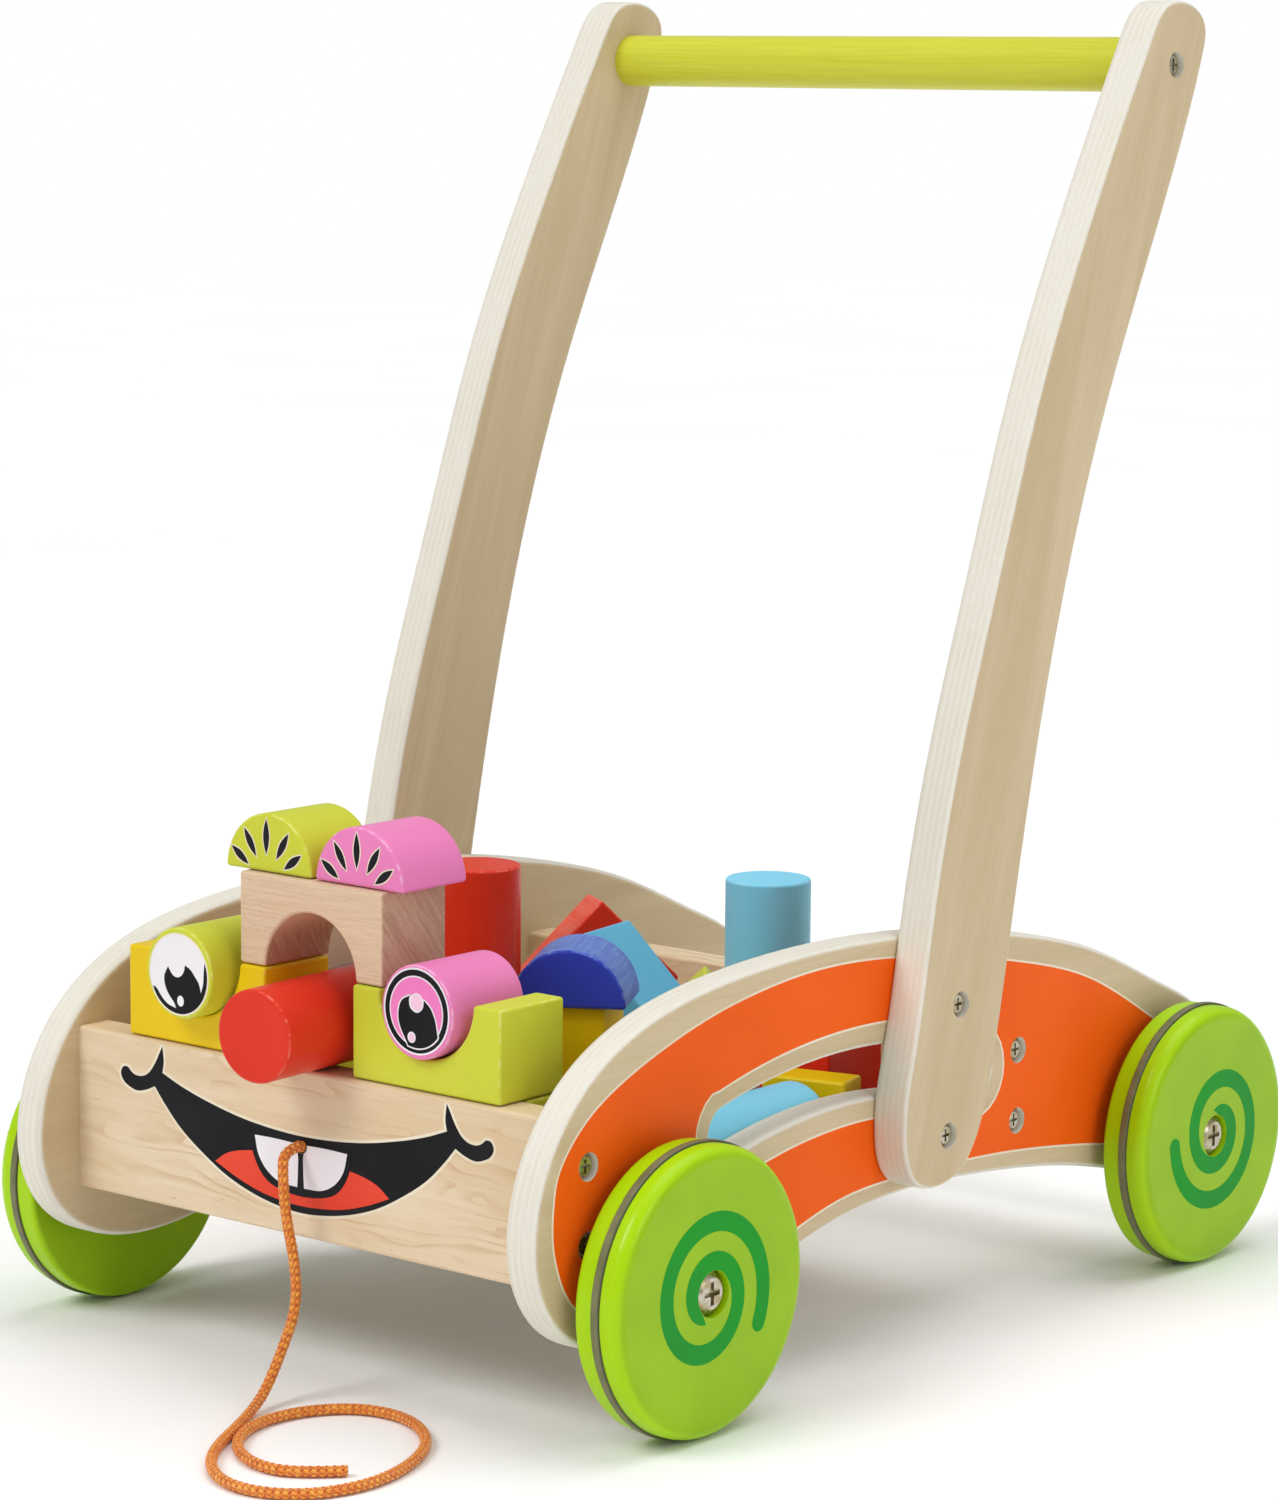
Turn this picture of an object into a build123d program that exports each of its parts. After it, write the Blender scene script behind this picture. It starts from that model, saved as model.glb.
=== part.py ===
"""Wooden push-along baby walker that carries a load of building blocks.

Millimetres. X to the right, Y to the back, Z up. The origin is on the floor, in the
middle of the cart. Stations are distances behind the front axle.
"""
import os
from math import cos, pi, radians, sin, tan

from build123d import *

os.makedirs("parts", exist_ok=True)

# ---------------------------------------------------------------- driving dimensions
WHEELBASE = 303.0
WHEEL_R = 50.0
NOSE_REACH = 71.0                 # nose block in front of the front axle
FRONT_AXLE_Y = (NOSE_REACH - WHEELBASE - WHEEL_R) / 2

PANEL_IN = 109.1                  # inner face of a side panel, from the middle
PANEL_T = 13.0
PANEL_OUT = PANEL_IN + PANEL_T
PANEL_ROUND = 2.6
ARM_T = 14.6
ARM_OUT = PANEL_OUT + ARM_T
ARM_ROUND = 1.8

BOARD_T = 15.0
BOARD_ROUND = 1.6
BOARD_LOW = 52.4
BOARD_HIGH = 110.8
FRONT_BOARD_S = -35.5             # station of a board's middle
REAR_BOARD_S = 206.0
BASE_T = 6.0
TRAY_FLOOR = 62.8
GROOVE = 4.0                      # the base's tongue in each board

BAR_R = 10.0
BAR_S = 272.1
BAR_Z = 452.3

SLOT_H = 17.6
SLOT_POINTS = [(36.5, 94.0), (108.0, 102.2), (180.0, 91.5)]

# wheel, from the middle of the cart outwards
HUB_IN = 127.7
DISC_T = 7.5
RING_T = 3.6
HUB_OUT = HUB_IN + 2 * DISC_T + RING_T
RING_IN = HUB_IN + DISC_T
RING_OUT = RING_IN + RING_T
DISC_R = 49.2
INNER_ROUND = 2.0                 # rounding of the disc edges and of the ring
OUTER_ROUND = 4.8
RING_ROUND = 0.9
CORE_R = 42.0
AXLE_R = 4.0
RUNNING_FIT = 0.05
HUB_FLOOR = 141.8                 # floor of the recess round the wheel screw
RECESS_R = 8.0
END_FLOAT = 0.3

# blocks
SQUARE = 32.0
LONG = 66.5
HALF = 16.0
THICK = 21.2
ROUND_R = 21.0                      # hollow of a cradle, arch of a bridge
HALF_ROUND_R = 20.2
CYL_R = 16.0
EYE_LENGTH = 36.0
EASE = 1.2                        # rounding of a block's edges
GAP = 0.3                         # between loose blocks

# cord
CORD_R = 2.0
CORD_HOLE_R = 2.6
CORD_Z = 84.4
CORD_FLOOR_Z = 2.05
KNOT_R = 4.6
KNOT_L = 7.6
KNOT_ROUND = 2.4


def at(station):
    """Y of a station behind the front axle."""
    return FRONT_AXLE_Y + station


def save(solid, name):
    solid.label = name
    export_step(solid, "parts/" + name + ".step")


def side_plane(side, x):
    """Plane at x on one side, facing outwards; its points are (side * y, z)."""
    return Plane(origin=(side * x, 0, 0), x_dir=(0, side, 0), z_dir=(side, 0, 0))


def on_side(side, stations):
    return [(side * at(s), z) for s, z in stations]


def cross_plane(x, station, z, turn=0):
    """Plane facing forwards at a place on the cart, turned to the left by some degrees."""
    a = radians(turn)
    return Plane(origin=(x, at(station), z), x_dir=(cos(a), sin(a), 0), z_dir=(sin(a), -cos(a), 0))


SIDES = {"right": 1, "left": -1}
BOARD_SCREW_Z = (69.0, 95.4)
ARM_SCREWS = [(143.4, 76.5), (149.4, 122.9)]
BOARD_SCREWS = {"front": FRONT_BOARD_S, "rear": REAR_BOARD_S}
SCREW_R = 1.9
SCREW_L = 34.0
HEAD_R = 4.1
HEAD_T = 2.0
SINK_R = 4.8
SINK_DEPTH = 3.4


# ---------------------------------------------------------------- side panels
PANEL_OUTLINE = [
    (-62.3, 71.0), (-55.4, 99.6), (-35.4, 123.4), (-6.0, 138.3), (40.0, 147.0), (96.0, 149.6),
    (150.0, 146.8), (208.8, 138.2), (260.0, 124.4), (303.8, 105.5), (334.0, 88.0), (344.0, 66.0),
    (334.0, 43.0), (303.0, 34.5), (250.0, 43.6), (196.5, 51.6), (144.7, 54.9), (98.0, 51.5),
    (50.0, 39.5), (10.0, 30.5), (-23.0, 30.5), (-50.3, 43.2),
]
slot_line = {name: ThreePointArc(*on_side(side, SLOT_POINTS)) for name, side in SIDES.items()}

for name, side in SIDES.items():
    board_places = [(station, z) for station in BOARD_SCREWS.values() for z in BOARD_SCREW_Z]
    with BuildPart() as side_panel:
        with BuildSketch(side_plane(side, PANEL_IN)):
            with BuildLine():
                Spline(*on_side(side, PANEL_OUTLINE), periodic=True)
            make_face()
            SlotArc(slot_line[name], SLOT_H, mode=Mode.SUBTRACT)
        extrude(amount=PANEL_T)
        broad = side_panel.faces().filter_by(Axis.X)
        fillet(broad.edges(), PANEL_ROUND)
        with BuildSketch(side_plane(side, PANEL_OUT)):
            with Locations(*on_side(side, board_places)):
                Circle(SINK_R)
        extrude(amount=-SINK_DEPTH, mode=Mode.SUBTRACT)
        with BuildSketch(side_plane(side, PANEL_OUT)):
            with Locations(*on_side(side, board_places + ARM_SCREWS)):
                Circle(SCREW_R)
            with Locations(*on_side(side, [(0, WHEEL_R), (WHEELBASE, WHEEL_R)])):
                Circle(AXLE_R)
        extrude(amount=-PANEL_T, mode=Mode.SUBTRACT)
    save(side_panel.part, "side_panel_" + name)


# ---------------------------------------------------------------- front and rear boards, base
def make_board(station, inward):
    """Pine board between the panels, with a groove for the base on its inner face."""
    middle = (0, at(station), (BOARD_LOW + BOARD_HIGH) / 2)
    with BuildPart() as board:
        with BuildSketch(Plane(middle, x_dir=(1, 0, 0), z_dir=(0, -1, 0))):
            Rectangle(2 * PANEL_IN, BOARD_HIGH - BOARD_LOW)
        extrude(amount=BOARD_T / 2, both=True)
        fillet(board.edges().filter_by(Axis.X), BOARD_ROUND)
        with BuildSketch(Plane.YZ):
            with Locations((at(station) + inward * (BOARD_T / 2 - GROOVE / 2), TRAY_FLOOR - BASE_T / 2)):
                Rectangle(GROOVE, BASE_T)
        extrude(amount=PANEL_IN, both=True, mode=Mode.SUBTRACT)
        for side in SIDES.values():
            with BuildSketch(side_plane(side, PANEL_IN)):
                with Locations(*on_side(side, [(station, z) for z in BOARD_SCREW_Z])):
                    Circle(SCREW_R)
            extrude(amount=-(SCREW_L - PANEL_T + SINK_DEPTH), mode=Mode.SUBTRACT)
    return board.part


front_blank = make_board(FRONT_BOARD_S, 1)
with BuildPart() as front_board:
    add(front_blank)
    with BuildSketch(cross_plane(0, FRONT_BOARD_S, CORD_Z)):
        Circle(CORD_HOLE_R)
    extrude(amount=BOARD_T, both=True, mode=Mode.SUBTRACT)
save(front_board.part, "front_board")
save(make_board(REAR_BOARD_S, -1), "rear_board")

BASE_START = FRONT_BOARD_S + BOARD_T / 2 - GROOVE
BASE_END = REAR_BOARD_S - BOARD_T / 2 + GROOVE
with BuildPart() as tray_base:
    with BuildSketch(Plane.XY.offset(TRAY_FLOOR - BASE_T)):
        with Locations((0, at((BASE_START + BASE_END) / 2))):
            Rectangle(2 * PANEL_IN, BASE_END - BASE_START)
    extrude(amount=BASE_T)
save(tray_base.part, "tray_base")

RAIL = 12.0
RAIL_X = 60.0                       # middle of each rail
RAIL_ROUND = 1.5
RAIL_START = 20.0
RAIL_END = 190.0
with BuildPart() as base_rails:
    with BuildSketch(Plane.XY.offset(TRAY_FLOOR - BASE_T)):
        for side in SIDES.values():
            with Locations((side * RAIL_X, at((RAIL_START + RAIL_END) / 2))):
                Rectangle(RAIL, RAIL_END - RAIL_START)
    extrude(amount=-RAIL)
    fillet(base_rails.edges().filter_by(Axis.Y).group_by(Axis.Z)[0], RAIL_ROUND)
save(base_rails.part, "base_rails")


# ---------------------------------------------------------------- handle arms and bar
ARM_FRONT = [
    (117.6, 84.0), (122.3, 109.5), (131.0, 152.7), (144.9, 209.1), (167.2, 273.7),
    (192.9, 343.2), (222.3, 403.0), (251.0, 454.5),
]
ARM_TOP = [(251.0, 454.5), (271.5, 475.4), (291.4, 459.0)]
ARM_REAR = [
    (291.4, 459.0), (283.0, 436.5), (260.9, 388.9), (236.2, 337.5), (212.8, 276.9),
    (193.5, 207.8), (180.1, 145.0), (168.9, 92.9), (163.5, 77.5),
]
ARM_FOOT = [(163.5, 77.5), (141.5, 59.0), (117.6, 84.0)]

for name, side in SIDES.items():
    with BuildPart() as handle_arm:
        with BuildSketch(side_plane(side, PANEL_OUT)):
            with BuildLine():
                Spline(*on_side(side, ARM_FRONT), tangents=[(side * 0.02, 1), (side * 0.5, 0.86)])
                Spline(*on_side(side, ARM_TOP), tangents=[(side * 0.5, 0.86), (side * -0.3, -0.95)])
                Spline(*on_side(side, ARM_REAR), tangents=[(side * -0.3, -0.95), (side * -0.4, -0.92)])
                Spline(*on_side(side, ARM_FOOT), tangents=[(side * -0.4, -0.92), (side * 0.02, 1)])
            make_face()
        extrude(amount=ARM_T)
        fillet(handle_arm.faces().filter_by(Axis.X).edges(), ARM_ROUND)
        with BuildSketch(side_plane(side, ARM_OUT)):
            with Locations(*on_side(side, ARM_SCREWS + [(BAR_S, BAR_Z)])):
                Circle(SINK_R)
        extrude(amount=-SINK_DEPTH, mode=Mode.SUBTRACT)
        with BuildSketch(side_plane(side, ARM_OUT)):
            with Locations(*on_side(side, ARM_SCREWS + [(BAR_S, BAR_Z)])):
                Circle(SCREW_R)
        extrude(amount=-ARM_T, mode=Mode.SUBTRACT)
    save(handle_arm.part, "handle_arm_" + name)

with BuildPart() as handle_bar:
    with BuildSketch(Plane(origin=(0, at(BAR_S), BAR_Z), x_dir=(0, 1, 0), z_dir=(1, 0, 0))):
        Circle(BAR_R)
        Circle(SCREW_R, mode=Mode.SUBTRACT)
    extrude(amount=PANEL_OUT, both=True)
save(handle_bar.part, "handle_bar")


# ---------------------------------------------------------------- screws
def make_screw(length, head_r, head_t, shank_r):
    """Cross-head screw whose head's top faces +Z, with the head's underside at zero."""
    outline = [
        (0, -length), (shank_r, -length + shank_r), (shank_r, 0), (head_r, 0),
        (head_r, 0.45 * head_t), (0.74 * head_r, head_t), (0, head_t),
    ]
    with BuildPart() as screw:
        with BuildSketch(Plane.XZ):
            with BuildLine():
                Polyline(*outline, close=True)
            make_face()
        revolve(axis=Axis.Z)
        with BuildSketch(Plane.XY.offset(head_t)):
            Rectangle(1.1 * head_r, 0.24 * head_r)
            Rectangle(0.24 * head_r, 1.1 * head_r)
        extrude(amount=-0.6 * head_t, mode=Mode.SUBTRACT)
    return screw.part


def screw_group(name, screw, x, stations):
    """The same screw at each station on both sides, with the underside of its head at x."""
    with BuildPart() as group:
        for side in SIDES.values():
            for station, z in stations:
                seat = Plane(origin=(side * x, at(station), z), x_dir=(0, side, 0), z_dir=(side, 0, 0))
                add(screw.moved(seat.location))
    save(group.part, name)


wood_screw = make_screw(SCREW_L, HEAD_R, HEAD_T, SCREW_R)
arm_screw = make_screw(ARM_T + PANEL_T - SINK_DEPTH - 1, HEAD_R, HEAD_T, SCREW_R)
for name, station in BOARD_SCREWS.items():
    screw_group(name + "_board_screws", wood_screw, PANEL_OUT - SINK_DEPTH, [(station, z) for z in BOARD_SCREW_Z])
screw_group("arm_screws", arm_screw, ARM_OUT - SINK_DEPTH, ARM_SCREWS)
screw_group("bar_screws", wood_screw, ARM_OUT - SINK_DEPTH, [(BAR_S, BAR_Z)])


# ---------------------------------------------------------------- axles and wheels
AXLES = {"front": 0.0, "rear": WHEELBASE}
AXLE_END = HUB_FLOOR + END_FLOAT
WASHER_R = 7.6
WASHER_T = 0.8
WHEEL_SCREW_R = 2.5
WHEEL_SCREW_L = 16.0
WHEEL_HEAD_R = 7.2
WHEEL_HEAD_T = 2.8

for name, station in AXLES.items():
    with BuildPart() as axle:
        with BuildSketch(Plane(origin=(0, at(station), WHEEL_R), x_dir=(0, 1, 0), z_dir=(1, 0, 0))):
            Circle(AXLE_R)
        extrude(amount=AXLE_END, both=True)
        for side in SIDES.values():
            with BuildSketch(side_plane(side, AXLE_END)):
                with Locations(*on_side(side, [(station, WHEEL_R)])):
                    Circle(WHEEL_SCREW_R)
            extrude(amount=-WHEEL_SCREW_L, mode=Mode.SUBTRACT)
    save(axle.part, "axle_" + name)

axle_places = [(station, WHEEL_R) for station in AXLES.values()]
with BuildPart() as wheel_spacers:
    for side in SIDES.values():
        with BuildSketch(side_plane(side, PANEL_OUT)):
            with Locations(*on_side(side, axle_places)):
                Circle(RECESS_R)
                Circle(AXLE_R, mode=Mode.SUBTRACT)
        extrude(amount=HUB_IN - PANEL_OUT - END_FLOAT)
save(wheel_spacers.part, "wheel_spacers")

with BuildPart() as wheel_washers:
    for side in SIDES.values():
        with BuildSketch(side_plane(side, AXLE_END)):
            with Locations(*on_side(side, axle_places)):
                Circle(WASHER_R)
                Circle(WHEEL_SCREW_R, mode=Mode.SUBTRACT)
        extrude(amount=WASHER_T)
save(wheel_washers.part, "wheel_washers")
wheel_screw = make_screw(WHEEL_SCREW_L, WHEEL_HEAD_R, WHEEL_HEAD_T, WHEEL_SCREW_R)
screw_group("wheel_screws", wheel_screw, AXLE_END + WASHER_T, axle_places)


def wheel_plane(side, station, x):
    return Plane(origin=(side * x, at(station), WHEEL_R), x_dir=(0, side, 0), z_dir=(side, 0, 0))


def make_wheel(name, side, station):
    """Two painted discs with a rubber ring between them, round a core on the inner disc."""
    bore = AXLE_R + RUNNING_FIT
    with BuildPart() as inner_disc:
        with BuildSketch(wheel_plane(side, station, HUB_IN)):
            Circle(DISC_R)
        extrude(amount=DISC_T)
        fillet(inner_disc.faces().sort_by(Axis.X)[0 if side > 0 else -1].edges(), INNER_ROUND)
        with BuildSketch(wheel_plane(side, station, RING_IN)):
            Circle(CORE_R)
        extrude(amount=RING_T)
        with BuildSketch(wheel_plane(side, station, HUB_IN)):
            Circle(bore)
        extrude(amount=DISC_T + RING_T, mode=Mode.SUBTRACT)
    save(inner_disc.part, name + "_inner_disc")

    with BuildPart() as rubber_ring:
        with BuildSketch(wheel_plane(side, station, RING_IN)):
            Circle(WHEEL_R)
            Circle(CORE_R, mode=Mode.SUBTRACT)
        extrude(amount=RING_T)
        fillet(rubber_ring.edges().sort_by(SortBy.LENGTH)[-2:], RING_ROUND)
    save(rubber_ring.part, name + "_rubber_ring")

    with BuildPart() as outer_disc:
        with BuildSketch(wheel_plane(side, station, RING_OUT)):
            Circle(DISC_R)
        extrude(amount=DISC_T)
        fillet(outer_disc.faces().sort_by(Axis.X)[-1 if side > 0 else 0].edges(), OUTER_ROUND)
        with BuildSketch(wheel_plane(side, station, HUB_OUT)):
            Circle(RECESS_R)
        extrude(amount=HUB_FLOOR - HUB_OUT, mode=Mode.SUBTRACT)
        with BuildSketch(wheel_plane(side, station, RING_OUT)):
            Circle(bore)
        extrude(amount=DISC_T, mode=Mode.SUBTRACT)
    save(outer_disc.part, name + "_outer_disc")


for axle_name, station in AXLES.items():
    for side_name, side in SIDES.items():
        make_wheel(axle_name + "_" + side_name, side, station)


# ---------------------------------------------------------------- building blocks
def ease(block):
    fillet(block.edges(), EASE)


def brick(x, station, z, width, depth, height, turn=0):
    """Brick; x, station and z are the middle of its front bottom edge."""
    with BuildPart() as block:
        with BuildSketch(cross_plane(x, station, z, turn)):
            Rectangle(width, height, align=(Align.CENTER, Align.MIN))
        extrude(amount=-depth)
        ease(block)
    return block.part


def cradle(x, station, z):
    """Long brick with a half-round hollow in its top."""
    with BuildPart() as block:
        with BuildSketch(cross_plane(x, station, z)):
            Rectangle(LONG, SQUARE, align=(Align.CENTER, Align.MIN))
            with Locations((0, SQUARE)):
                Circle(ROUND_R, mode=Mode.SUBTRACT)
        extrude(amount=-SQUARE)
        ease(block)
    return block.part


def bridge(x, station, z):
    """Long brick with a half-round arch in its underside."""
    with BuildPart() as block:
        with BuildSketch(cross_plane(x, station, z)):
            Rectangle(LONG, SQUARE, align=(Align.CENTER, Align.MIN))
            Circle(ROUND_R, mode=Mode.SUBTRACT)
        extrude(amount=-SQUARE)
        ease(block)
    return block.part


def half_round(x, station, z, turn=0):
    """Half of a cylinder lying on its flat face."""
    with BuildPart() as block:
        with BuildSketch(cross_plane(x, station, z, turn)):
            with BuildLine():
                ThreePointArc((-HALF_ROUND_R, 0), (0, HALF_ROUND_R), (HALF_ROUND_R, 0))
                Line((HALF_ROUND_R, 0), (-HALF_ROUND_R, 0))
            make_face()
        extrude(amount=-SQUARE)
        ease(block)
    return block.part


def prism(x, station, z, height, depth, turn=0):
    """Right-angled triangle block standing on its long side."""
    with BuildPart() as block:
        with BuildSketch(cross_plane(x, station, z, turn)):
            with BuildLine():
                Polyline((-height, 0), (height, 0), (0, height), close=True)
            make_face()
        extrude(amount=-depth)
        ease(block)
    return block.part


def lying_cylinder(x, station, z, length, turn=0):
    """Cylinder along the cart; z is its underside."""
    with BuildPart() as block:
        with BuildSketch(cross_plane(x, station, z + CYL_R, turn)):
            Circle(CYL_R)
        extrude(amount=-length)
        ease(block)
    return block.part


def standing_cylinder(x, station, z, length):
    with BuildPart() as block:
        with BuildSketch(Plane(origin=(x, at(station), z))):
            Circle(CYL_R)
        extrude(amount=length)
        ease(block)
    return block.part


FLOOR = TRAY_FLOOR + GAP
ONE_UP = TRAY_FLOOR + SQUARE + GAP
STEP_UP = BOARD_HIGH + GAP                   # level with the boards: a brick and a half
CRADLE_TOP = STEP_UP + SQUARE
HOLLOW = CRADLE_TOP - ROUND_R                # bottom of a cradle's hollow
BRIDGE_Z = CRADLE_TOP + GAP
BROW_Z = BRIDGE_Z + SQUARE + GAP
FACE_S = -41.0                               # front of the cradles
YELLOW_X = -52.3
LIME_X = 55.2

blocks = {
    # the face on the front board
    "yellow_cradle": cradle(YELLOW_X, FACE_S, STEP_UP),
    "lime_cradle": cradle(LIME_X, FACE_S, STEP_UP),
    "lime_eye_cylinder": lying_cylinder(YELLOW_X + 1.4, -50.5, HOLLOW + GAP, EYE_LENGTH),
    "pink_eye_cylinder": lying_cylinder(LIME_X - 0.6, -44.5, HOLLOW + GAP, EYE_LENGTH),
    "red_nose_cylinder": lying_cylinder(4.3, -NOSE_REACH + 1.0, STEP_UP, LONG, 3.7),
    "beech_bridge": bridge(1.3, -40.0, BRIDGE_Z),
    "lime_brow_half_round": half_round(-20.7, -37.5, BROW_Z),
    "pink_brow_half_round": half_round(21.6, -37.5, BROW_Z),
    # the load behind it
    "red_standing_cylinder": standing_cylinder(-34.0, 84.0, ONE_UP, LONG),
    "yellow_standing_brick": brick(54.5, 27.6, FLOOR, SQUARE, SQUARE, LONG, 28),
    "blue_half_round": half_round(60.1, 25.4, FLOOR + LONG + GAP, 31),
    "light_blue_prism": prism(18.5, 82.5, STEP_UP, SQUARE, SQUARE, 9.5),
    "red_prism": prism(-17.8, 135.4, STEP_UP, SQUARE, HALF + 1.7, 58),
    "light_blue_rear_cylinder": standing_cylinder(24.2, 181.5, TRAY_FLOOR + THICK + GAP, LONG),
    "lime_prism": prism(29.0, 139.0, TRAY_FLOOR + 2 * THICK + GAP, HALF, HALF, 40),
    "light_blue_side_cylinder": lying_cylinder(PANEL_IN - CYL_R - GAP, 45.3, FLOOR, LONG),
    "yellow_half_brick": brick(92.3, 116.0, FLOOR, SQUARE, HALF, SQUARE, 14),
    "red_standing_brick": brick(71.0, 138.0, FLOOR, SQUARE, SQUARE, LONG),
    "dark_blue_long_brick": brick(-91.5, 52.0, FLOOR, SQUARE, LONG, SQUARE),
    "lime_low_half_round": half_round(-78.0, 140.0, FLOOR, 20),
    "pink_low_cylinder": lying_cylinder(-88.0, 8.0, FLOOR, EYE_LENGTH),
    "yellow_low_brick": brick(-20.0, 12.0, FLOOR, LONG, SQUARE, SQUARE),
}
for name, solid in blocks.items():
    save(solid, name)

# the bottom layer, which stays packed in the tray under the others
stowed = {
    "stowed_natural_bricks": [
        brick(YELLOW_X, -27.5, TRAY_FLOOR, LONG, SQUARE, SQUARE),
        brick(LIME_X, -27.5, TRAY_FLOOR, LONG, SQUARE, SQUARE),
        brick(-36.5, 66.0, TRAY_FLOOR, LONG, SQUARE, SQUARE),
        brick(24.2, 165.9, TRAY_FLOOR, SQUARE, SQUARE, THICK),
    ],
    "stowed_lime_planks": [
        brick(YELLOW_X, -27.5, TRAY_FLOOR + SQUARE, LONG, SQUARE, HALF),
        brick(LIME_X, -27.5, TRAY_FLOOR + SQUARE, LONG, SQUARE, HALF),
    ],
    "stowed_orange_bricks": [
        brick(17.5, 82.0, TRAY_FLOOR, SQUARE, SQUARE, SQUARE + HALF, 9.5),
        brick(30.0, 136.0, TRAY_FLOOR, SQUARE, HALF, 2 * THICK, 40),
        brick(-22.0, 137.0, TRAY_FLOOR, SQUARE, HALF, SQUARE + HALF, 58),
    ],
}
for name, solids in stowed.items():
    with BuildPart() as group:
        for solid in solids:
            add(solid)
    save(group.part, name)


# ---------------------------------------------------------------- pull cord
with BuildPart() as cord_knot:
    with BuildSketch(cross_plane(0, FRONT_BOARD_S - BOARD_T / 2, CORD_Z)):
        Circle(CORD_R)
    extrude(amount=-BOARD_T)
    with BuildSketch(cross_plane(0, FRONT_BOARD_S + BOARD_T / 2, CORD_Z)):
        Circle(KNOT_R)
    extrude(amount=-KNOT_L)
    fillet(cord_knot.edges().group_by(SortBy.LENGTH)[-1], KNOT_ROUND)
save(cord_knot.part, "cord_knot")

# (x, station, z): out of the hole, down to the floor, then an open loop that curls inwards
CORD_ROUTE = [
    (0.0, FRONT_BOARD_S - BOARD_T / 2, CORD_Z), (0.0, -51.5, CORD_Z), (4.4, -56.4, 77.0),
    (5.2, -55.8, 63.0), (8.4, -54.6, 47.0), (9.6, -55.0, 32.0), (6.6, -60.0, 16.0),
    (8.0, -69.0, 5.0), (14.5, -83.0, CORD_FLOOR_Z), (22.6, -97.5, CORD_FLOOR_Z),
    (31.0, -114.0, CORD_FLOOR_Z), (42.0, -129.0, CORD_FLOOR_Z), (58.0, -140.5, CORD_FLOOR_Z),
    (76.0, -142.0, CORD_FLOOR_Z), (91.0, -132.0, CORD_FLOOR_Z), (97.5, -113.0, CORD_FLOOR_Z),
    (94.0, -90.0, CORD_FLOOR_Z), (81.0, -66.0, CORD_FLOOR_Z), (60.0, -51.5, CORD_FLOOR_Z),
    (39.0, -52.0, CORD_FLOOR_Z), (26.0, -66.0, CORD_FLOOR_Z), (22.6, -84.0, CORD_FLOOR_Z),
    (28.0, -101.0, CORD_FLOOR_Z), (40.0, -114.5, CORD_FLOOR_Z), (56.0, -121.5, CORD_FLOOR_Z),
    (71.0, -119.5, CORD_FLOOR_Z), (82.0, -106.5, CORD_FLOOR_Z),
]


def corner_radii(points):
    """Radius of the arc at each inner point: as large as its two runs allow."""
    radii = []
    for before, here, after in zip(points, points[1:], points[2:]):
        run_in = Vector(*here) - Vector(*before)
        run_out = Vector(*after) - Vector(*here)
        half_turn = radians(run_in.get_angle(run_out)) / 2
        radii.append(0.45 * min(run_in.length, run_out.length) / tan(half_turn))
    return radii


route = [(x, at(station), z) for x, station, z in CORD_ROUTE]
radii = corner_radii(route)
with BuildPart() as pull_cord:
    with BuildLine() as cord_path:
        FilletPolyline(*route, radius=radii)
    with BuildSketch(Plane(origin=route[0], z_dir=Vector(*route[1]) - Vector(*route[0]))):
        Circle(CORD_R)
    sweep()
save(pull_cord.part, "pull_cord")

cord_length = cord_path.wires()[0].length
tube_volume = pi * CORD_R**2 * cord_length
print("cord length %.1f mm, radii %s" % (cord_length, [round(r, 1) for r in radii]))
print("cord volume %.1f, section times length %.1f" % (pull_cord.part.volume, tube_volume))
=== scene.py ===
"""Finish of the wooden baby walker: camera, braided cord, materials, printed decoration, studio.

Metres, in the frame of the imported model: X to the right, Y to the back, Z up, front at -Y.
"""
import math

import bpy
from mathutils import Matrix, Vector


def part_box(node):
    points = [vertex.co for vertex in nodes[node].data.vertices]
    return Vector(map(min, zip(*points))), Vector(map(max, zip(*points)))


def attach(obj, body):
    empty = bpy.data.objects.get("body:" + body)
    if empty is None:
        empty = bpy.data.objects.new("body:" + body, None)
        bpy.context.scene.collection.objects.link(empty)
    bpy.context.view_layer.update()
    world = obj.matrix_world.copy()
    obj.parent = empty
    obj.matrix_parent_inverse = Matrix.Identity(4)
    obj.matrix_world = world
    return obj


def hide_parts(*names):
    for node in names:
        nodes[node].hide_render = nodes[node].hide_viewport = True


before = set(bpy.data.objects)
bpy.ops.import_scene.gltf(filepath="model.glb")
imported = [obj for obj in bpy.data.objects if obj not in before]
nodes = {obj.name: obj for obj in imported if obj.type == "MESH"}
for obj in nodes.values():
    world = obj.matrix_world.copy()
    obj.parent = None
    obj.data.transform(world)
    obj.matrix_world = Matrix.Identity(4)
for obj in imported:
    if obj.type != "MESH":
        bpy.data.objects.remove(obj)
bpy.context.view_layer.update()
MM = 0.001
scene = bpy.context.scene


# ---------------------------------------------------------------- camera
# the place, turns and lens that make the walker fill a tall picture from its front right
CAMERA_PLACE = Vector((1.051, -1.266, 0.443))
YAW, PITCH, ROLL = (math.radians(angle) for angle in (38.773, 8.252, 0.67))
LENS = 108.5
SHIFT = (-0.0558, -0.0059)


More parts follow.
